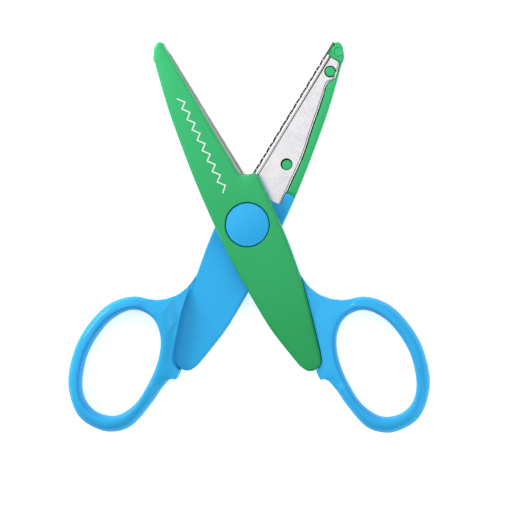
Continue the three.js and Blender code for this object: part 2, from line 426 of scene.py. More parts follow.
class Shading:
    """Adds nodes to a material's tree."""

    def __init__(self, tree: bpy.types.NodeTree) -> None:
        """Work on the given tree."""
        self.tree = tree

    def node(self, kind: str, settings: dict, inputs: "dict | list", out: "int | str" = 0) -> Socket:
        """Add one node.

        Args:
            kind: the node's type.
            settings: its properties, set before its sockets; "stops" fills a colour ramp.
            inputs: socket values or links, by name or index in a dict, or in order in a list.
            out: the output to hand back.

        Returns:
            The wrapped output.
        """
        made = self.tree.nodes.new(kind)
        for key, value in settings.items():
            if key == "stops":
                ramp = made.color_ramp.elements
                for i, (place, colour) in enumerate(value):
                    stop = ramp[i] if i < len(ramp) else ramp.new(place)
                    stop.position, stop.color = place, colour
            else:
                setattr(made, key, value)
        pairs = inputs.items() if isinstance(inputs, dict) else enumerate(inputs)
        for key, value in pairs:
            if isinstance(value, Socket):
                self.tree.links.new(value.output, made.inputs[key])
            else:
                made.inputs[key].default_value = value
        return Socket(self.tree, made.outputs[out])

    def place(self) -> Socket:
        """Object coordinates."""
        return self.node("ShaderNodeTexCoord", {}, {}, "Object")

    def noise(self, where: Socket, scale: float, detail: float = 3.0, rough: float = 0.5) -> Socket:
        """Fractal noise between 0 and 1."""
        inputs = {"Vector": where, "Scale": scale, "Detail": detail, "Roughness": rough}
        return self.node("ShaderNodeTexNoise", {}, inputs, "Fac")

    def ramp(self, value: Socket, low: float, high: float, start: float = 0.0, end: float = 1.0) -> Socket:
        """Map a value from low..high onto start..end, held at both ends."""
        inputs = {"Value": value, "From Min": low, "From Max": high, "To Min": start, "To Max": end}
        return self.node("ShaderNodeMapRange", {"clamp": True}, inputs)

    def mix(self, factor: Socket, first: tuple, second: tuple) -> Socket:
        """Blend two colours."""
        return self.node(
            "ShaderNodeMix",
            {"data_type": "RGBA"},
            {0: factor, 6: (*first, 1.0), 7: (*second, 1.0)},
            2,
        )

    def bump(self, height: Socket, strength: float, distance: float) -> Socket:
        """A Bump node's normal."""
        inputs = {"Height": height, "Strength": strength, "Distance": distance}
        return self.node("ShaderNodeBump", {}, inputs)


def new_material(name: str) -> tuple[bpy.types.Material, Shading, bpy.types.Node]:
    """Make an empty node material with its main shader.

    Args:
        name: the material's name.

    Returns:
        The material, its shading helper and its Principled shader.
    """
    material = bpy.data.materials.new(name)
    material.use_nodes = True
    tree = material.node_tree
    shader = next(n for n in tree.nodes if n.type == "BSDF_PRINCIPLED")
    return material, Shading(tree), shader


@dataclass(frozen=True)
class PlasticFinish:
    """Coloured moulded plastic: faint flow clouds, a fine spark texture and a thin clear sheen.

    The colour can also be darkened evenly along the object, from the tips to the handles: painted shade,
    which leaves the tips looking lit.
    """

    name: str
    base: tuple[float, float, float]
    pale: tuple[float, float, float]
    roughness: float
    coat: float
    grain: float
    shine: float = 0.35
    # Painted shade: the colour is multiplied down between these two places along Y, leaving the tips looking
    # lit.
    painted_handle_shade: tuple[float, float, float] = (1.0, 1.0, 1.0)  # multiplies the colour at the handles
    shade_start_y: float = 0.06  # metres along Y where the deepening starts
    shade_full_y: float = -0.035  # and where it is complete

    def make(self) -> bpy.types.Material:
        """Build the material."""
        material, shade, shader = new_material(self.name)
        where = shade.place()
        clouds = shade.noise(where, 55.0, 4.0, 0.55)
        fine = shade.noise(where, 5200.0, 2.0, 0.5)
        scuffs = shade.noise(where, 380.0, 4.0, 0.6)
        tint = shade.ramp(clouds * 0.75 + scuffs * 0.25, 0.32, 0.68)
        length = shade.node("ShaderNodeSeparateXYZ", {}, [where], "Y")
        # Painted shade: the colour darkens along Y from the tips to the handles.
        painted_shade_mix = shade.mix(shade.ramp(length, self.shade_start_y, self.shade_full_y), (1.0, 1.0, 1.0), self.painted_handle_shade)
        tone = shade.mix(tint, self.base, self.pale)
        tone = shade.node("ShaderNodeVectorMath", {"operation": "MULTIPLY"}, {0: tone, 1: painted_shade_mix})
        self._link(material, tone, shader, "Base Color")
        rough = shade.ramp(scuffs, 0.3, 0.7, self.roughness - 0.05, self.roughness + 0.06)
        self._link(material, rough, shader, "Roughness")
        self._link(material, shade.bump(fine, 0.12, self.grain), shader, "Normal")
        shader.inputs["IOR"].default_value = 1.45
        shader.inputs["Specular IOR Level"].default_value = self.shine
        shader.inputs["Coat Weight"].default_value = self.coat
        shader.inputs["Coat Roughness"].default_value = 0.12
        return material

    @staticmethod
    def _link(material: bpy.types.Material, value: Socket, shader: bpy.types.Node, name: str) -> None:
        """Join a value to one of the shader's sockets."""
        material.node_tree.links.new(value.output, shader.inputs[name])


@dataclass(frozen=True)
class SteelFinish:
    """Ground stainless sheet: a fine speckle, faint grinding lines along the blade, small stains."""

    name: str
    base: tuple[float, float, float]
    dull: tuple[float, float, float]
    roughness: float

    def make(self) -> bpy.types.Material:
        """Build the material."""
        material, shade, shader = new_material(self.name)
        where = shade.place()
        speckle = shade.noise(where, 1500.0, 3.0, 0.7)
        stain = shade.noise(where, 160.0, 4.0, 0.6)
        stretched = shade.node("ShaderNodeMapping", {}, {"Vector": where, "Scale": (1.0, 0.06, 1.0)})
        lines = shade.noise(stretched, 3200.0, 2.0, 0.5)
        pits = shade.ramp(shade.noise(where, 2300.0, 2.0, 0.6), 0.66, 0.74)
        mask = shade.ramp(speckle * 0.6 + stain * 0.4, 0.36, 0.62) * (1.0 - pits)
        links = material.node_tree.links
        links.new(shade.mix(mask, self.dull, self.base).output, shader.inputs["Base Color"])
        rough = shade.ramp(stain + lines * 0.3, 0.4, 0.9, self.roughness - 0.05, self.roughness + 0.07)
        links.new(rough.output, shader.inputs["Roughness"])
        normal = shade.bump(lines * 0.5 + speckle * 0.5, 0.25, 0.00001)
        links.new(normal.output, shader.inputs["Normal"])
        shader.inputs["Metallic"].default_value = 1.0
        return material


@dataclass(frozen=True)
class InkFinish:
    """White printed ink: slightly uneven in tone, with pin-holes too fine to see as dots."""

    name: str
    base: tuple[float, float, float]
    worn: tuple[float, float, float]

    def make(self) -> bpy.types.Material:
        """Build the material."""
        material, shade, shader = new_material(self.name)
        where = shade.place()
        wear = shade.ramp(shade.noise(where, 900.0, 4.0, 0.6), 0.35, 0.6)
        links = material.node_tree.links
        links.new(shade.mix(wear, self.worn, self.base).output, shader.inputs["Base Color"])
        links.new(shade.ramp(wear, 0.0, 1.0, 0.55, 0.42).output, shader.inputs["Roughness"])
        links.new(shade.bump(wear, 0.2, 0.00001).output, shader.inputs["Normal"])
        return material


# ---------------------------------------------------------------- pieces


@dataclass
class ShellMoulding:
    """The green cover of one half, with its tip block and the posts that hold the plate."""

    half: Half
    inner_z: float = 2.0
    top_z: float = 4.5
    rounding: float = 0.85
    crown: float = 0.5  # how far the face falls from its middle to its rounded edge
    crown_reach: float = 4.6
    hole_radius: float = 6.75
    hole_rounding: float = 0.22
    block_z: float = 0.35
    post_radius: float = 1.46
    post_top_z: float = 1.08
    ear_gap: float = 0.16  # the same beside the ear that holds the upper post
    plate_gap: float = 0.34  # between the plate's back edge and the wall beside it
    rim_z: float = 1.6

    def right_outline(self) -> Array:
        """The loop side from the rounded end up over the shoulder to the tip."""
        lower = spline(np.array(RIGHT_SIDE), 14)[::-1]
        shoulder = spline(np.array((
            (9.12, 12.1), (8.75, 12.95), (7.9, 13.35), (6.6, 13.6), (5.4, 13.85), (4.55, 14.3), (4.18, 15.0),
            (4.0, 16.1),
        )), 6)
        blade = np.array((
            (3.86, 17.4), (2.78, 28.4), (1.4, 43.0), (0.42, 53.3), (-0.12, 58.2), (-0.3, 59.9),
        ))
        steps = np.linspace(0, lengths(blade)[-1], 80)
        return np.vstack((lower, shoulder, along(blade, steps)))

    def left_outline(self) -> Array:
        """The plain side from the rounded end up to the tip."""
        return spline(np.array(LEFT_SIDE + BLADE_SIDE), 14)

    def rows(self) -> tuple[Array, Array, Array, Array]:
        """Match both sides of the outline to the middle line, which opens round the pivot hole.

        Returns:
            The closed outline, its target points on the middle line or on the hole, and for
            each whether it is on the hole's left or right arc.
        """
        r = self.hole_radius + self.hole_rounding
        arc = np.linspace(-math.pi / 2, math.pi / 2, 41)
        below = np.linspace(-44.6, -r, 64)[:-1]
        above = np.linspace(r, 59.2, 112)[1:]
        level = np.concatenate((below, r * np.sin(arc), above))
        opening = np.concatenate((np.zeros(63), r * np.cos(arc), np.zeros(111)))
        middle_y = (-44.6, -30, -7, 7, 20, 40, 56, 59.2)
        middle_x = (0, -0.2, 0, 0, -1.6, -2.7, -2.4, -1.9)
        middle = np.interp(level, middle_y, middle_x)
        left = self.left_outline()
        right = self.right_outline()
        left_at = along(left, np.interp(level, left[:, 1], lengths(left)))
        marks = np.array((
            (3.5, -44.3), (6.6, -28.6), (8.85, -10), (9.15, 0), (9.15, 8.5), (9.12, 12.1), (7.9, 13.35),
            (5.4, 13.85), (4.18, 15.0), (3.86, 17.4), (2.78, 28.4), (1.4, 43.0), (-0.3, 59.9),
        ))
        levels = (-44.6, -28.6, -10, 0, 7.2, 9.2, 10.4, 11.8, 13.4, 16.2, 28.0, 43.0, 59.2)
        nearest = np.linalg.norm(right[None, :, :] - marks[:, None, :], axis=2).argmin(axis=1)
        right_at = along(right, np.interp(level, levels, lengths(right)[nearest]))
        end = spline(np.array((LEFT_SIDE[0],) + ROUND_END[::-1] + (RIGHT_SIDE[-1],)), 8)[1:-1]
        tip = spline(np.array(((-0.3, 59.9), (-0.5, 60.4), (-1.0, 60.8), (-1.75, 60.85), (-2.5, 60.42),
                               (-3.05, 59.86), left_at[-1])), 5)[1:-1]
        outline = np.vstack((right_at, tip, left_at[::-1], end))
        inner_right = np.column_stack((middle + opening, level))
        inner_left = np.column_stack((middle - opening, level))
        inner = np.vstack((
            inner_right,
            np.repeat(inner_right[-1:], len(tip), axis=0),
            inner_left[::-1],
            np.repeat(inner_left[:1], len(end), axis=0),
        ))
        count = len(level)
        hole = np.arange(63, 63 + 41)
        return outline, inner, hole, len(tip) + 2 * count - 1 - hole

    def face_height(self, plan: Array, outline: Array) -> Array:
        """Height of the outer face: level in the middle, falling like a parabola to a round edge.

        Args:
            plan: points, shape (n, 2).
            outline: the shell's outline.

        Returns:
            Heights, shape (n,).
        """
        gap = distance_to(plan, outline)
        share = np.clip(1 - gap / self.crown_reach, 0, 1)
        broad = self.top_z - self.crown * share**2.2
        r = self.rounding
        edge = np.sqrt(np.maximum(r**2 - np.maximum(r - gap, 0) ** 2, 0)) - r
        return broad + edge

    def build(self) -> bpy.types.Object:
        """Build the cover, block and posts as one surface.

        Returns:
            The shell's object.
        """
        outline, inner, hole_right, hole_left = self.rows()
        normal = self.smoothed(inward(outline))
        skin = Skin()
        r = self.rounding
        turn = np.linspace(0, math.pi / 2, 7)
        near = r * (1 - np.cos(turn))
        start = outline[:, None, :] + normal[:, None, :] * near[None, :, None]
        share = np.array((0.08, 0.2, 0.34, 0.5, 0.68, 0.85, 1.0))[None, :, None]
        last = start[:, -1:, :]
        rest = last * (1 - share) + inner[:, None, :] * share
        plan = np.concatenate((start, rest), axis=1)
        heights = self.face_height(plan.reshape(-1, 2), outline).reshape(plan.shape[:2])
        heights[:, 0] = self.top_z - self.crown - r
        top = np.dstack((plan, heights))
        skin.grid(top, wrap_u=True)
        chamfer, bevel = 0.12, 0.03
        wall = np.stack([
            np.column_stack((outline + normal * chamfer, np.full(len(outline), self.inner_z))),
            np.column_stack((outline + normal * bevel, np.full(len(outline), self.inner_z + bevel))),
            np.column_stack((outline, np.full(len(outline), self.inner_z + chamfer))),
            np.column_stack((outline, heights[:, 0])),
        ], axis=1)
        skin.grid(wall, wrap_u=True)
        lip = inner.copy()
        for rows in (hole_right, hole_left):
            offset = inner[rows] / np.linalg.norm(inner[rows], axis=1, keepdims=True)
            lip[rows] = offset * self.hole_radius
        rim = outline + normal * chamfer
        under = np.stack((rim, rim * 0.5 + lip * 0.5, lip), axis=1)
        skin.grid(np.dstack((under, np.full(under.shape[:2] + (1,), self.inner_z))), wrap_u=True, flip=True)
        for rows in (hole_right, hole_left):
            self.hole_wall(skin, top[rows, -1, :], lip[rows])
        self.tip_block(skin)
        self.plate_rim(skin)
        a = np.linspace(0, math.pi / 2, 5)
        radius, end = self.post_radius, self.post_top_z
        corner = np.column_stack((radius - 0.25 * (1 - np.cos(a)), end + 0.25 - 0.25 * np.sin(a)))
        profile = np.vstack(((0, 2.3), (radius, 2.3), corner, (0.7, end), (0.0, end)))
        for x, y in POSTS:
            disc_stack(skin, profile[::-1], (x, y), 48)
        return mesh_object(f"{self.half.value}_shell_cover", skin, self.half)

    def hole_wall(self, skin: Skin, rim: Array, lip: Array) -> None:
        """Add the pivot hole's wall under one arc, with its rounded upper edge."""
        k = self.hole_rounding
        a = np.linspace(0, math.pi / 2, 5)[1:]
        direction = lip / np.linalg.norm(lip, axis=1, keepdims=True)
        columns = [rim]
        for t in a:
            ring = direction * (self.hole_radius + k * (1 - math.sin(t)))
            columns.append(np.column_stack((ring, rim[:, 2] - k * (1 - math.cos(t)))))
        columns.append(np.column_stack((lip, np.full(len(lip), self.inner_z))))
        skin.grid(np.stack(columns, axis=1))

    def tip_block(self, skin: Skin) -> None:
        """Add the full-depth block at the tip, with the round boss, two nubs on its face and a band of
        painted shadow round its foot.
        """
        knots = np.array((
            (-4.5, 55.95), (-2.4, 56.05), (-0.45, 56.2), (-0.28, 56.9), (-0.4, 57.8), (-0.86, 58.5),
            (-0.62, 59.4), (-0.43, 59.9), (-0.55, 60.3), (-1.03, 60.7), (-1.75, 60.75), (-2.45, 60.33),
            (-2.98, 59.8), (-3.45, 59.1), (-4.0, 58.1), (-4.42, 57.2),
        ))
        closed = spline(knots, 10, closed=True)
        ring = np.vstack((closed, closed[:1]))
        outline = along(ring, np.linspace(0, lengths(ring)[-1], 120)[:-1])
        slab(skin, outline, self.block_z + 0.18, 2.3, 0.3)
        boss = spline(np.array((
            (0.0, 0.7), (0.7, 0.68), (1.0, 0.6), (1.15, 0.36), (1.3, 0.24), (1.48, 0.27), (1.66, 0.45),
            (1.7, 0.8),
        )), 5)
        disc_stack(skin, np.vstack((boss[:-1], (1.7, 0.8), (0.0, 0.85))), (-2.2, 58.5), 48)
        nub = np.array(((0.0, 0.22), (0.16, 0.25), (0.3, 0.36), (0.38, 0.55), (0.38, 0.8), (0.0, 0.8)))
        disc_stack(skin, nub, (-0.78, 57.2), 24)
        disc_stack(skin, nub, (-1.15, 59.75), 24)
        # A thin sheet round the block's foot whose side wears the near-black green: painted shadow in the
        # crevice between block and plate.
        grown = outline - inward(outline) * 0.32
        level = np.full((len(grown), 1), 1.972)
        shadow = np.stack((np.hstack((grown, level)), np.hstack((grown, level + 0.2))), axis=1)
        skin.cap(shadow[:, 0], flip=True)
        skin.cap(shadow[:, 1])
        skin.grid(shadow, wrap_u=True, finish=1)

    def plate_rim(self, skin: Skin) -> None:
        """Add the low wall that stands beside the plate's back edge, from the handle to the block, with
        painted shade in the channel beside it and on the floors of the post holes.
        """
        back = spline(np.array(PLATE_BACK), 12)
        left = self.left_outline()
        y = np.linspace(14.2, 56.4, 150)
        gap = np.interp(y, (44.0, 48.0), (self.plate_gap, self.ear_gap))
        near = np.interp(y, back[:, 1], back[:, 0]) - gap
        far = np.interp(y, left[:, 1], left[:, 0]) + 0.03
        r = np.minimum(0.12, (near - far) * 0.35)
        a = np.linspace(0, math.pi / 2, 4)
        top = self.rim_z
        x = np.column_stack((
            near, near[:, None] - r[:, None] * (1 - np.cos(a)), (near + far) / 2,
            far[:, None] + r[:, None] * (1 - np.sin(a)), far,
        ))
        z = np.column_stack((
            np.full(len(y), 2.25), top + r[:, None] * (1 - np.sin(a)), np.full(len(y), top),
            top + r[:, None] * (1 - np.cos(a)), np.full(len(y), 2.25),
        ))
        section = np.dstack((x, np.broadcast_to(y[:, None], x.shape), z))
        skin.grid(section, wrap_v=True, flip=True)
        # The channel's floor strip and its ends wear the near-black green: painted shade in the gap beside
        # the plate.
        across = np.column_stack((near - 0.02, near - 0.02, near + 0.6, near + 0.6))
        depth = np.broadcast_to((2.2, 1.975, 1.975, 2.2), across.shape)
        floor = np.dstack((across, np.broadcast_to(y[:, None], across.shape), depth))
        skin.grid(floor, wrap_v=True, finish=1)
        for row, flip in ((0, False), (-1, True)):
            skin.grid(np.stack((floor[row, :2], floor[row, :1:-1]), axis=0), flip=flip, finish=1)
        # Discs on the floors of the post holes wear the near-black green: painted shade inside the holes.
        for hole_x, hole_y, radius in POST_HOLES:
            profile = np.array(((0.0, 1.97), (radius + 0.15, 1.97), (radius + 0.15, 2.2), (0.0, 2.2)))
            disc_stack(skin, profile, (hole_x, hole_y), 48, finish=1)
        for row, flip in ((0, True), (-1, False)):
            half = section.shape[1] // 2
            ends = np.stack((section[row, :half + 1], section[row, ::-1][:half + 1]), axis=0)
            skin.grid(ends, flip=flip)

    @staticmethod
    def smoothed(normal: Array) -> Array:
        """Average the normals over their neighbours, so that corners fan evenly."""
        total = sum(np.roll(normal, k, axis=0) for k in (-2, -1, 0, 1, 2))
        return total / np.linalg.norm(total, axis=1, keepdims=True)


@dataclass
class CutMark:
    """The white zigzag printed on a shell's face, which shows the line that the blades cut."""

    shell: ShellMoulding
    width: float = 0.38
    pitch: float = 3.47
    teeth: int = 9
    thickness: float = 0.03

    def centre_line(self) -> Array:
        """The zigzag's corners, from the tip end towards the pivot."""
        k = np.arange(self.teeth)
        right = np.column_stack((-1.45 + 0.061 * k, 41.2 - self.pitch * k))
        left = np.column_stack((-3.1 + 0.055 * k, 39.7 - self.pitch * k))
        corners = np.stack((right, left), axis=1).reshape(-1, 2)[:-1]
        return np.vstack(((-3.18, 43.1), corners, (-2.64, 11.7)))

    def build(self) -> bpy.types.Object:
        """Build the line as a thin raised ribbon with mitred corners.

        Returns:
            The mark's object.
        """
        line = self.centre_line()
        step = np.diff(line, axis=0)
        step /= np.linalg.norm(step, axis=1, keepdims=True)
        before = np.vstack((step[:1], step))
        after = np.vstack((step, step[-1:]))
        tangent = before + after
        tangent /= np.linalg.norm(tangent, axis=1, keepdims=True)
        side = np.column_stack((-tangent[:, 1], tangent[:, 0]))
        reach = self.width / 2 / np.maximum((tangent * after).sum(1), 0.4)
        parts = [np.arange(len(line) - 1) + f for f in (0.0, 0.2, 0.4, 0.6, 0.8)]
        stations = np.sort(np.concatenate(parts + [[len(line) - 1.0]]))
        index = np.arange(len(line))
        centre = np.column_stack([np.interp(stations, index, line[:, i]) for i in (0, 1)])
        spread = np.column_stack([np.interp(stations, index, (side * reach[:, None])[:, i]) for i in (0, 1)])
        outline, *_ = self.shell.rows()
        across = np.array((-1.0, -0.9, 0.0, 0.9, 1.0))
        lift = np.array((-0.05, self.thickness, self.thickness, self.thickness, -0.05))
        plan = centre[:, None, :] + spread[:, None, :] * across[None, :, None]
        height = self.shell.face_height(plan.reshape(-1, 2), outline).reshape(plan.shape[:2]) + lift
        top = np.dstack((plan, height))
        bottom = top.copy()
        bottom[:, :, 2] = np.minimum(height, (height[:, :1] + height[:, -1:]) / 2)
        loop = np.concatenate((top, bottom[:, ::-1, :][:, 1:-1, :]), axis=1)
        skin = Skin()
        skin.grid(loop, wrap_v=True, flip=True)
        for row, flip in ((0, False), (-1, True)):
            cap = np.stack((top[row], bottom[row]), axis=0)
            skin.grid(cap, flip=flip)
        return mesh_object(f"{self.shell.half.value}_cut_mark", skin, self.shell.half, 60)


@dataclass(frozen=True)
class WebSide:
    """How the web of a handle ends on one of its two sides."""

    outline: tuple  # of the body that the web passes
    gap: float  # between that body and the web
    corner: tuple[float, float]  # the web's upper corner
    corner_z: float  # its height there
    taper_y: float  # where it starts to thicken towards its full height

    def passing(self, y: float) -> float:
        """How far across the web's edge lies at a height along the body."""
        curve = spline(np.array(self.outline), 12)
        order = np.argsort(curve[:, 1])
        return float(np.interp(y, curve[order, 1], np.abs(curve[order, 0]))) + self.gap


OWN_SIDE = WebSide(RIGHT_SIDE + ROUND_END[:2], 0.14, (8.0, -20.3), 1.9, -20.0)
MATE_SIDE = WebSide(LEFT_SIDE[::-1] + ((-2.2, -47.2), (0, -47.95)), 0.25, (8.1, -21.6), -0.12, -24.2)


@dataclass
class HandleMoulding:
    """The blue body, web and finger loop of one half, in one moulding."""

    half: Half
    loop_z: float = 4.9
    web_z: float = 3.2
    web_dip: float = 0.55  # how far the ridge sinks beside the web
    narrow_rise: float = 0.7  # how far the web rises where it is narrow
    ridge_share: float = 0.3  # across the loop's band, from the hole to its highest line
    free_rim: float = 1.7  # rounding of the web's upper edge
    step_rim: float = 0.42  # rounding of its edge beside the body
    body_rounding: float = 0.5
    bore: float = 2.58  # radius of the bore that the rivet runs in

    def angles(self) -> Array:
        """Directions round the finger hole, closer together along the web."""
        web = np.linspace(78, 192, 300, endpoint=False)
        free = np.linspace(192, 438, 180, endpoint=False)
        return np.radians(np.concatenate((web, free)))

    def ring(self, knots: tuple, angle: Array) -> Array:
        """A closed outline of the loop at given directions from its centre."""
        curve = spline(np.array(knots), 24, closed=True) - LOOP_CENTRE
        polar = np.mod(np.arctan2(curve[:, 1], curve[:, 0]), 2 * math.pi)
        order = np.argsort(polar)
        radius = np.linalg.norm(curve, axis=1)[order]
        reach = np.interp(np.mod(angle, 2 * math.pi), polar[order], radius, period=2 * math.pi)
        return np.column_stack((np.cos(angle), np.sin(angle))) * reach[:, None] + LOOP_CENTRE

    def web_edge(self, angle: Array, outer: Array, side: WebSide) -> Array:
        """The web's outer edge, matched to directions from the loop's centre.

        Args:
            angle: directions, in radians.
            outer: the loop's own outer edge, where there is no web.
            side: how the web ends on this side.

        Returns:
            Points of the edge, shape (n, 2).
        """
        x, y = side.corner
        upper = (
            (78, 20.6, -33.4), (88, 18.3, -33.0), (94, 15.9, -32.25), (100, 12.9, -30.4), (105, 10.4, -27.8),
            (109, 8.95, -25.0), (112, 8.4, -23.2), (115, x, y),
        )
        turns = np.arange(117.5, 153.6, 1.2)
        known = (117.5, 124, 131, 139, 147, 153.5)
        levels = np.interp(turns, known, (-25.0, -31.3, -37.0, -41.5, -45.1, -47.25))
        beside = tuple((turn, side.passing(level), level) for turn, level in zip(turns, levels))
        stop = (
            (158, 0.95, -47.75 - side.gap), (161, 0.12, -48.2), (165, 0.1, -50), (169, 0.12, -51.25),
            (174, 1.4, -51.55), (179, 2.35, -52.6), (185, 2.95, -54.9), (192, 3.3, -57.3),
        )
        marks = np.array(upper + beside + stop)
        degrees = np.degrees(angle)
        edge = np.column_stack([np.interp(degrees, marks[:, 0], marks[:, k]) for k in (1, 2)])
        for _ in range(4):
            edge[1:-1] = (edge[:-2] + 2 * edge[1:-1] + edge[2:]) / 4
        return np.where((degrees < 192)[:, None], edge, outer)

    def section(self, inner: Array, outer: Array, edge: Array, degrees: Array, side: WebSide) -> Array:
        """The upper half of the loop's cross-section, from the hole to the far edge.

        A quarter ellipse climbs from the hole to the ridge. Past the ridge a free stretch
        closes with a squarer quarter ellipse, and a webbed one falls by half a cosine wave to
        the web's level and ends in a quarter circle and an upright wall.

        Args:
            inner: edge of the finger hole.
            outer: outer edge of the loop itself.
            edge: outer edge of the web.
            degrees: directions from the loop's centre.
            side: how the web ends on this side.

        Returns:
            Points, shape (directions, steps, 3).
        """
        ease = np.clip((degrees - 78) / 13, 0, 1) * np.clip((192 - degrees) / 10, 0, 1)
        blend = (ease**2 * (3 - 2 * ease))[:, None]
        rims = (self.free_rim, self.free_rim * 0.8, self.step_rim, self.step_rim)
        rim = np.interp(degrees, (78, 108, 116, 400), rims)[:, None]
        ridge = inner + (outer - inner) * self.ridge_share
        a = np.linspace(0, math.pi / 2, 13)
        climb = inner[:, None, :] + (ridge - inner)[:, None, :] * (1 - np.cos(a))[None, :, None]
        top = self.loop_z - self.web_dip * blend
        climb_z = top * np.sin(a) ** 0.9
        steps = np.arange(1, 33)
        b = steps / 32 * math.pi / 2
        free = ridge[:, None, :] + (outer - ridge)[:, None, :] * (np.sin(b) ** 0.8)[None, :, None]
        free_z = np.broadcast_to(self.loop_z * np.abs(np.cos(b)) ** 0.8, free.shape[:2])
        span = np.linalg.norm(edge - ridge, axis=1)[:, None]
        rim = np.minimum(rim, span * 0.4)
        out = (edge - ridge) / np.maximum(span, 1e-6)
        turn = np.clip((steps - 20) / 8, 0, 1)[None, :] * math.pi / 2
        run = np.minimum(steps / 20, 1.0)[None, :] * (span - rim) + rim * np.sin(turn)
        web = ridge[:, None, :] + out[:, None, :] * run[..., None]
        taper = np.clip((side.taper_y - web[..., 1]) / 9.0, 0, 1)
        full = self.web_z + self.narrow_rise * np.clip(1 - span / 8, 0, 1)
        level = side.corner_z + (full - side.corner_z) * np.sin(taper * math.pi / 2)
        share = np.clip(run / np.clip(span * 0.95, 3.0, 9.0), 0, 1)
        web_z = level + (top - level) * 0.5 * (1 + np.cos(math.pi * share))
        web_z = web_z - np.clip(level * 0.8, 0, rim) * (1 - np.cos(turn))
        web_z = web_z * (1 - np.clip((steps - 28) / 4, 0, 1))[None, :]
        plan = np.concatenate((climb, free * (1 - blend[..., None]) + web * blend[..., None]), axis=1)
        return np.dstack((plan, np.concatenate((climb_z, free_z * (1 - blend) + web_z * blend), axis=1)))

    def loop_and_web(self, skin: Skin) -> None:
        """Add the finger loop and the web that joins it to the body."""
        angle = self.angles()
        degrees = np.degrees(angle)
        inner = self.ring(LOOP_INSIDE, angle)
        outer = self.ring(LOOP_OUTSIDE, angle)
        above, below = (
            self.section(inner, outer, self.web_edge(angle, outer, side), degrees, side)
            for side in (OWN_SIDE, MATE_SIDE)
        )
        below[:, :, 2] *= -1
        loop = np.concatenate((above, below[:, ::-1, :][:, :-1, :]), axis=1)
        skin.grid(loop, wrap_u=True, wrap_v=True)

    def body(self, skin: Skin) -> None:
        """Add the thin body between the halves, with its two prongs beside the steel plate."""
        right = spline(np.array(((9.15, 11.3), (9.15, 0), (8.85, -10), (8, -19.5))), 14)
        inside = spline(np.array(((8.1, -22.5), (8.6, -28), (7.6, -34), (6.5, -40), (5, -44.5))), 6)
        end = spline(np.array(((3.4, -46.5), (1.9, -47.4), (0, -47.95), (-2.2, -47.2))), 6)
        left = spline(np.array(LEFT_SIDE), 14)
        left_prong = np.array(((-9.19, 11.9), (-9.12, 12.7), (-8.6, 13.4), (-6.9, 13.62), (-6.14, 13.1)))
        notch = np.array(((-6.12, 9.7), (-3.0, 9.3), (2, 9.3), (5.85, 9.3)))
        right_prong = np.array(((5.85, 12.3), (6.2, 12.7), (8.1, 12.7), (8.9, 12.2), (9.14, 11.7)))
        outline = np.vstack((right, inside, end, left, left_prong, notch, right_prong))[::-1]
        closed = np.vstack((outline, outline[:1]))
        outline = along(closed, np.linspace(0, lengths(closed)[-1], 720)[:-1])
        for _ in range(4):
            outline = (np.roll(outline, 1, axis=0) + 2 * outline + np.roll(outline, -1, axis=0)) / 4
        slab(skin, outline, BODY_IN, BODY_OUT, self.body_rounding, self.bore)

    def build(self) -> bpy.types.Object:
        """Build the whole moulding.

        Returns:
            The handle's object.
        """
        skin = Skin()
        self.loop_and_web(skin)
        self.body(skin)
        self.ejector_mark(skin)
        return mesh_object(f"{self.half.value}_handle_moulding", skin, self.half)

    def ejector_mark(self, skin: Skin) -> None:
        """Add the faint round mark that an ejector pin leaves on the body's inner face."""
        base = BODY_IN
        profile = np.array((
            (0.0, base - 0.012), (0.62, base - 0.012), (0.74, base - 0.05), (0.9, base - 0.055),
            (1.0, base + 0.1), (0.0, base + 0.1),
        ))
        disc_stack(skin, profile, (0.1, -38.0), 40)


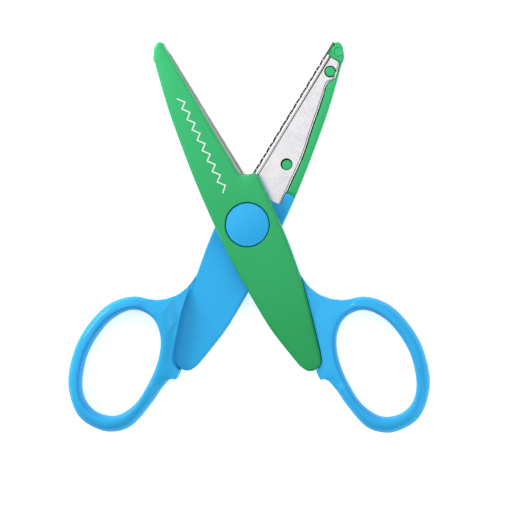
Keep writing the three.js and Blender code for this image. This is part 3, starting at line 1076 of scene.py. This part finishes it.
@dataclass
class BladePressing:
    """A steel blade: a flat plate held by two posts, its cutting edge bent to a toothed flange."""

    half: Half
    start: float = 9.4  # along the cutting edge
    root_y: float = 9.45  # the plate's straight lower end
    plate_end: float = 55.7
    flange_start: float = 12.8
    flange_end: float = 60.0
    cut_z: float = 1.2  # height of the flange's upper edge beyond the plate
    teeth_start: float = 14.5
    pitch: float = 3.84
    flanks: int = 21
    tooth_height: float = 0.85
    tooth_round: float = 0.93  # 1 would leave the teeth's corners sharp
    lit_corner_share: float = 0.36  # the share of each flank's length, at the corners, left bright steel as painted light; the rest of the toothed edge wears painted shade
    clearance: float = 0.18
    bend: float = 0.65  # inner radius
    crease: float = 5.42
    crease_depth: float = 0.2
    score: float = 0.42  # the fine line along the back edge, from that edge
    rounding: float = 0.2

    def stations(self) -> Array:
        """Positions along the cutting edge, with one on every tooth's corner and hole's end."""
        corners = self.teeth_start + np.arange(self.flanks * 8 + 1) * self.pitch / 16
        holes = []
        for x, y, r in POST_HOLES:
            s, _ = self.from_plan(x, y)
            holes.append(s + r * np.sin(np.linspace(-math.pi / 2, math.pi / 2, 25)))
        plain = np.arange(self.start, self.flange_end, 0.4)
        limits = (self.start, self.flange_start, self.plate_end, self.flange_end, 56.1, 56.5, 57.0)
        every = np.concatenate((corners, *holes, limits))
        clear = np.abs(plain[:, None] - every[None, :]).min(axis=1) > 0.12
        return np.unique(np.round(np.concatenate((every, plain[clear])), 5))

    @staticmethod
    def from_plan(x: float, y: float) -> tuple[float, float]:
        """A plan point as distance along the cutting edge and away from the pivot."""
        c, s = math.cos(EDGE_LEAN), math.sin(EDGE_LEAN)
        return y * c - x * s, x * c + y * s

    def free_edge(self, s: Array) -> Array:
        """Height of the toothed edge: an arcsine of a sine, so straight flanks with small rounds."""
        half = self.pitch / 2
        phase = np.clip((s - self.teeth_start) / half, 0, self.flanks)
        wave = np.arcsin(self.tooth_round * np.sin(phase * math.pi)) / math.asin(self.tooth_round)
        return self.clearance + self.half.tooth_side * self.tooth_height * wave

    def left_edge(self, s: Array) -> Array:
        """How far from the cutting edge's line the plate's back edge lies."""
        marks = np.array(PLATE_BACK)
        curve = spline(np.column_stack(self.from_plan(marks[:, 0], marks[:, 1])), 8)
        return np.interp(s, curve[:, 0], curve[:, 1])

    def build(self) -> bpy.types.Object:
        """Build plate, bend and flange as one surface.

        Returns:
            The blade's object.
        """
        skin = Skin()
        s = self.stations()
        plate = s[s <= self.plate_end + 1e-6]
        self.plate(skin, plate)
        self.flange(skin, s[s >= self.flange_start - 1e-6])
        return mesh_object(f"{self.half.value}_blade_pressing", skin, self.half, 30)

    def plate(self, skin: Skin, s: Array) -> None:
        """Add the flat plate: rows across it, opened round the two post holes."""
        back = self.left_edge(s)
        join = np.full(len(s), EDGE_OFFSET - SHEET - self.bend)
        (s1, d1), (s2, d2) = (self.from_plan(x, y) for x, y, _ in POST_HOLES)
        spine = d2 + (s - s2) * (d1 - d2) / (s1 - s2)
        open_by = np.zeros(len(s))
        in_hole = []
        for (sc, dc), r in zip(((s1, d1), (s2, d2)), (POST_HOLES[0][2], POST_HOLES[1][2])):
            rows = np.abs(s - sc) <= r + 1e-6
            spine = np.where(rows, dc, spine)
            open_by = np.where(rows, np.sqrt(np.maximum(r**2 - (s - sc) ** 2, 0)), open_by)
            in_hole.append(rows)
        low, high, k = BODY_OUT - SHEET, BODY_OUT, self.rounding
        a = np.linspace(0, math.pi / 2, 5)
        inset = k * (1 - np.sin(a))
        left_plan = back[:, None] + np.concatenate((inset, inset[::-1]))[None, :]
        left_z = np.concatenate((low + k * (1 - np.cos(a)), (high - k * (1 - np.cos(a)))[::-1]))
        back_edge = self.world(s, left_plan, np.broadcast_to(left_z, left_plan.shape))
        skin.grid(back_edge, flip=True)
        skin.cap(back_edge[0])
        skin.cap(back_edge[-1], flip=True)
        share = np.array((0.5, 1.0))[None, :]
        crease = np.full(len(s), self.crease)
        width = np.interp(s, (10, 40, 56), (0.12, 0.16, 0.26))
        for z, flip in ((low, False), (high, True)):
            inner_left = (spine - open_by)[:, None]
            inner_right = (spine + open_by)[:, None]
            score = (back + self.score)[:, None] + np.array((-0.09, 0.0, 0.09))[None, :]
            rest = score[:, -1:] * (1 - share) + inner_left * share
            from_left = np.concatenate(((back + k)[:, None], score, rest), axis=1)
            left_level = np.full(from_left.shape, z)
            if not flip:
                left_level[:, 2] += 0.15
            # The score line's quads wear the dark steel: painted shade in the groove.
            scored = np.isin(np.arange(left_level.shape[1] - 1), (1, 2)) & (not flip)
            skin.grid(self.world(s, from_left, left_level), flip=flip, finish=scored[None, :])
            groove = crease[:, None] + width[:, None] * np.array((-1.0, -0.35, 0.35, 1.0))
            near = np.array((0.5, 0.9))[None, :] * (groove[:, :1] - inner_right) + inner_right
            right = np.concatenate((inner_right, near, groove, join[:, None]), axis=1)
            level = np.full(right.shape, z)
            if not flip:
                level[:, 4:6] += self.crease_depth
            # The crease's quads wear the dark steel: painted shade in the crease.
            scored = np.isin(np.arange(level.shape[1] - 1), (3, 4, 5)) & (not flip)
            skin.grid(self.world(s, right, level), flip=flip, finish=scored[None, :])
            # The plate's end walls wear the dark steel: painted shade in the gaps at its ends.
            for row, turned in ((0, False), (-1, True)):
                if flip:
                    continue
                for strip, levels in ((from_left, left_level), (right, level)):
                    foot = np.column_stack((strip[row], levels[row]))
                    ends = np.stack((foot, level_row(strip, row, high)), axis=0)
                    plan = self.world(np.array((s[row], s[row])), ends[:, :, 0], ends[:, :, 1])
                    skin.grid(plan, flip=turned, finish=1)
        for rows in in_hole:
            for sign in (-1, 1):
                edge = (spine + sign * open_by)[rows][:, None] * np.ones((1, 2))
                wall = np.broadcast_to((low, high), edge.shape)
                skin.grid(self.world(s[rows], edge, wall), flip=sign > 0)
        root = s <= self.flange_start + 1e-6
        wall = join[root][:, None] * np.ones((1, 2))
        skin.grid(self.world(s[root], wall, np.broadcast_to((low, high), wall.shape)))

    def flange(self, skin: Skin, s: Array) -> None:
        """Add the bend and the flange, its free edge cut to teeth, and close its open sides."""
        centre = EDGE_OFFSET - SHEET - self.bend
        level = BODY_OUT - SHEET - self.bend
        top = np.interp(s, (self.plate_end, self.plate_end + 0.25), (BODY_OUT, self.cut_z))
        tip = self.free_edge(s)
        faces = []
        for radius in (self.bend, self.bend + SHEET):
            lead = np.arccos(np.clip((top - level) / radius, 0, 1))
            stop = np.maximum(np.arccos(np.clip((tip - level) / radius, 0, 1)), lead)
            share = np.linspace(0, 1, 9)[None, :]
            turn = lead[:, None] + (stop - lead)[:, None] * share
            away = centre + radius * np.sin(turn)
            height = level + radius * np.cos(turn)
            end = np.minimum(height[:, -1], np.maximum(tip, -9))
            away = np.concatenate((away, away[:, -1:]), axis=1)
            height = np.concatenate((height, end[:, None]), axis=1)
            faces.append(self.world(s, away, height))
        inner, outer = faces
        # The flange's faces past the bend wear the greyer steel: painted shade where they turn away from the
        # light.
        skin.grid(inner, finish=np.where(np.arange(inner.shape[1] - 1) > 3, 2, 0)[None, :])
        skin.grid(outer, flip=True, finish=2)
        # The toothed edge wears the dark steel as painted shade, except near the corners, which are left
        # bright as painted light.
        phase = ((s[1:] + s[:-1]) / 2 - self.teeth_start) / (self.pitch / 2)
        corner = (phase > 0) & (phase < self.flanks) & (np.abs(np.mod(phase, 1) - 0.5) < self.lit_corner_share / 2)
        skin.grid(np.stack((inner[:, -1], outer[:, -1]), axis=1), finish=np.where(corner, 0, 1)[:, None])
        bare = s >= self.plate_end - 1e-6
        skin.grid(np.stack((inner[bare][:, 0], outer[bare][:, 0]), axis=1), flip=True)
        for row, flip in ((0, False), (-1, True)):
            skin.grid(np.stack((outer[row], inner[row]), axis=0), flip=flip)

    def world(self, s: Array, away: Array, height: Array) -> Array:
        """Turn rows of positions across the blade into points, the root's rows squared off.

        Args:
            s: stations along the cutting edge, shape (rows,).
            away: distances from the pivot's line, shape (rows, columns).
            height: heights, shape (rows, columns).

        Returns:
            Points, shape (rows, columns, 3).
        """
        level = np.broadcast_to(s[:, None], away.shape)
        share = np.clip((self.start + 2.6 - level) / 2.6, 0, 1)
        square = (self.root_y - away * math.sin(EDGE_LEAN)) / math.cos(EDGE_LEAN)
        plan = edge_to_plan(level + (square - self.start) * share, away)
        return np.dstack((plan, height))


def level_row(strip: Array, row: int, z: float) -> Array:
    """One row of positions across a plate, all at one height."""
    return np.column_stack((strip[row], np.full(strip.shape[1], z)))


@dataclass
class PivotCap:
    """The blue domed cap over the rivet's end."""

    half: Half
    radius: float = 6.48
    crown_z: float = 4.9
    edge_z: float = 4.3
    seat_z: float = 2.0

    def build(self) -> bpy.types.Object:
        """Build the cap as a turned shape.

        Returns:
            The cap's object.
        """
        a = np.linspace(0, math.pi / 2, 7)
        k = 0.35
        edge = np.column_stack((self.radius - k + k * np.cos(a), self.edge_z - k + k * np.sin(a)))
        r = np.linspace(edge[-1, 0], 0, 18)[1:]
        rise = (self.crown_z - self.edge_z) * (1 - (r / edge[-1, 0]) ** 2.4)
        dome = np.column_stack((r, self.edge_z + rise))
        profile = np.vstack((
            ((0, 3.95), (5.0, 3.95), (5.2, 3.8), (5.2, self.seat_z), (self.radius, self.seat_z)), edge, dome,
        ))
        skin = Skin()
        disc_stack(skin, profile, (0, 0), 96)
        return mesh_object(f"{self.half.value}_cap_dome", skin, self.half, 50)


# ---------------------------------------------------------------- the object


# The green is darkened towards the handles as painted shade.
GREEN = PlasticFinish(
    name="green_plastic", base=(0.036, 0.485, 0.166), pale=(0.040, 0.520, 0.192),
    roughness=0.45, coat=0.04, grain=0.000006, shine=0.3, painted_handle_shade=(0.35, 0.6, 0.46),
)
# Painted shade: a near-black green worn where gaps and hollows beside the plate, in the post holes and round
# the tip block fall in shadow.
GREEN_PAINTED_SHADE = PlasticFinish(
    name="green_painted_shade", base=(0.004, 0.030, 0.010), pale=(0.006, 0.040, 0.014),
    roughness=0.7, coat=0.0, grain=0.000006, shine=0.1,
)
BLUE = PlasticFinish(
    name="blue_plastic", base=(0.026, 0.368, 0.730), pale=(0.032, 0.398, 0.770),
    roughness=0.30, coat=0.3, grain=0.000003, shine=0.0,
)
STEEL = SteelFinish("blade_steel", (0.90, 0.885, 0.91), (0.74, 0.73, 0.76), 0.25)
# Painted shade: a near-black copy of the steel for grooves, gaps and the toothed edge's flanks.
STEEL_PAINTED_SHADE = SteelFinish("steel_painted_shade", (0.20, 0.20, 0.20), (0.10, 0.10, 0.10), 0.35)
# Painted shade: a greyer copy of the steel for the bend and flange, which turn away from the light.
STEEL_SIDE_PAINTED_SHADE = SteelFinish("steel_side_painted_shade", (0.50, 0.485, 0.485), (0.40, 0.385, 0.385), 0.4)
PIN = SteelFinish("pin_steel", (0.75, 0.75, 0.77), (0.62, 0.62, 0.64), 0.35)
INK = InkFinish("white_ink", (0.86, 0.88, 0.86), (0.74, 0.80, 0.75))
NYLON = PlasticFinish("nylon", (0.78, 0.77, 0.72), (0.82, 0.81, 0.77), 0.5, 0.0, 0.00001)


@dataclass
class ScissorHalf:
    """One half with everything that turns with it."""

    half: Half
    materials: dict[str, bpy.types.Material]

    def build(self) -> None:
        """Build the half's pieces, dress them and hand them to their body."""
        name = self.half.value
        shell = ShellMoulding(self.half)
        cover = shell.build()
        self.settle(cover, "green_plastic", f"{name}_shell")
        # The shell's second material is the painted shade for its gaps and hollows.
        cover.data.materials.append(self.materials["green_painted_shade"])
        self.settle(CutMark(shell).build(), "white_ink")
        handle = HandleMoulding(self.half).build()
        self.settle(handle, "blue_plastic", f"{name}_handle")
        blade = BladePressing(self.half).build()
        self.settle(blade, "blade_steel", f"{name}_blade")
        # The blade's second and third materials are painted shade: dark steel in its grooves, gaps and
        # toothed edge, greyer steel on its bend and flange.
        blade.data.materials.append(self.materials["steel_painted_shade"])
        blade.data.materials.append(self.materials["steel_side_painted_shade"])
        self.settle(PivotCap(self.half).build(), "blue_plastic", f"{name}_pivot_cap")

    def settle(self, piece: bpy.types.Object, finish: str, node: str = "") -> None:
        """Dress a piece and tell the frame where it belongs.

        Args:
            piece: the object.
            finish: the name of its material.
            node: the CAD node it stands for, if any.
        """
        piece.data.materials.append(self.materials[finish])
        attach(piece, self.half.body)
        if node:
            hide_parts(node)
        log.info("%s: %d faces on %s", piece.name, len(piece.data.polygons), self.half.body)


@dataclass
class PivotHardware:
    """The rivet and washers, kept as the CAD made them, in better metal and nylon."""

    materials: dict[str, bpy.types.Material]

    def dress(self) -> None:
        """Give each kept node its finish."""
        finishes = {"pivot_rivet": "pin_steel", "rivet_washer": "pin_steel", "thrust_washer": "nylon"}
        for node, finish in finishes.items():
            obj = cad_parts[node]
            for slot in obj.material_slots:
                slot.material = self.materials[finish]
            log.info("%s keeps its shape, in %s", node, finish)


@dataclass
class Studio:
    """A pale floor, a soft sky and three square lamps."""

    floor_tone: float = 0.9
    floor_glow: float = 0.6
    sky_front: float = 0.5  # brightness of the sky over the handles, and to the right
    sky_back: float = 1.55  # the same beyond the tips, and to the left

    def build(self) -> None:
        """Make the floor, the sky, the lamps and the camera."""
        self.floor()
        self.world()
        self.lamp("left_lamp", (-0.5, 0.35, 0.28), 0.3, 3.7)
        self.lamp("right_lamp", (0.55, -0.3, 0.3), 0.4, 1.7)
        self.lamp("line_lamp", (0.4, 0.1, 0.85), 0.16, 0.25)
        self.camera()

    def floor(self) -> None:
        """A wide pale sheet, very slightly uneven in tone."""
        span = np.linspace(-4, 4, 5)
        x, y = np.meshgrid(span, span, indexing="ij")
        z = np.full(x.shape, -0.00002)
        points = np.dstack((x, y, z)).reshape(-1, 3)
        index = np.arange(25).reshape(5, 5)
        corners = (index[:-1, :-1], index[1:, :-1], index[1:, 1:], index[:-1, 1:])
        quads = np.stack(corners, axis=-1).reshape(-1, 4)
        mesh = bpy.data.meshes.new("floor")
        mesh.from_pydata(points.tolist(), [], quads.tolist())
        floor = bpy.data.objects.new("floor", mesh)
        bpy.context.scene.collection.objects.link(floor)
        material, shade, shader = new_material("floor_paper")
        tone = shade.ramp(shade.noise(shade.place(), 3.0, 2.0), 0.3, 0.7)
        pale = self.floor_tone
        colour = shade.mix(tone, (pale, pale, pale), (pale * 0.99, pale * 0.99, pale))
        material.node_tree.links.new(colour.output, shader.inputs["Base Color"])
        shader.inputs["Roughness"].default_value = 0.7
        shader.inputs["Specular IOR Level"].default_value = 0.2
        shader.inputs["Emission Color"].default_value = (1.0, 1.0, 1.0, 1.0)
        shader.inputs["Emission Strength"].default_value = self.floor_glow
        mesh.materials.append(material)

    def world(self) -> None:
        """A sky, dark at the horizon and brightest beyond the tips, like a tent of white cloth."""
        world = bpy.data.worlds.new("soft_sky")
        bpy.context.scene.world = world
        world.use_nodes = True
        shade = Shading(world.node_tree)
        direction = shade.node("ShaderNodeTexCoord", {}, {}, "Generated")
        height = shade.node("ShaderNodeSeparateXYZ", {}, [direction], "Z")
        right = shade.node("ShaderNodeSeparateXYZ", {}, [direction], "X")
        back = shade.node("ShaderNodeSeparateXYZ", {}, [direction], "Y")
        side = shade.ramp(back * 0.85 - right * 0.5, -0.06, 0.22, self.sky_front, self.sky_back)
        bright = shade.ramp(height, 0.2, 0.9, 0.06, 1.0) * side
        background = world.node_tree.nodes["Background"]
        background.inputs["Color"].default_value = (1.0, 1.0, 1.0, 1.0)
        world.node_tree.links.new(bright.output, background.inputs["Strength"])

    def lamp(self, name: str, place: tuple[float, float, float], size: float, power: float) -> None:
        """Add a square area lamp that faces the object.

        Args:
            name: its name.
            place: where it stands, in metres.
            size: its side, in metres.
            power: its power, in watts.
        """
        data = bpy.data.lights.new(name, "AREA")
        data.size = size
        data.energy = power
        lamp = bpy.data.objects.new(name, data)
        lamp.location = place
        lamp.rotation_euler = (-Vector(place)).to_track_quat("-Z", "Y").to_euler()
        bpy.context.scene.collection.objects.link(lamp)

    def camera(self) -> None:
        """A long lens above the object, leaning a few degrees to the right of square on."""
        target = Vector((0.00195, -0.00903, 0.0049))
        lean = math.radians(5.0)
        distance = 1.2
        data = bpy.data.cameras.new("camera")
        data.sensor_width = 36.0
        data.lens = 36.0 * distance / 0.153
        data.clip_end = 20
        camera = bpy.data.objects.new("camera", data)
        camera.location = target + Vector((math.sin(lean), 0.0, math.cos(lean))) * distance
        camera.rotation_euler = (0.0, lean, 0.0)
        bpy.context.scene.collection.objects.link(camera)
        bpy.context.scene.camera = camera


def main() -> None:
    """Build the scissors, dress them and set up the studio."""
    logging.basicConfig(level=logging.INFO, format="%(message)s")
    bpy.context.scene.view_settings.view_transform = "Standard"
    finishes = (GREEN, GREEN_PAINTED_SHADE, BLUE, STEEL, STEEL_PAINTED_SHADE, STEEL_SIDE_PAINTED_SHADE, PIN, INK, NYLON)
    materials = {finish.name: finish.make() for finish in finishes}
    for half in Half:
        ScissorHalf(half, materials).build()
    PivotHardware(materials).dress()
    Studio().build()


if __name__ == "__main__":
    main()
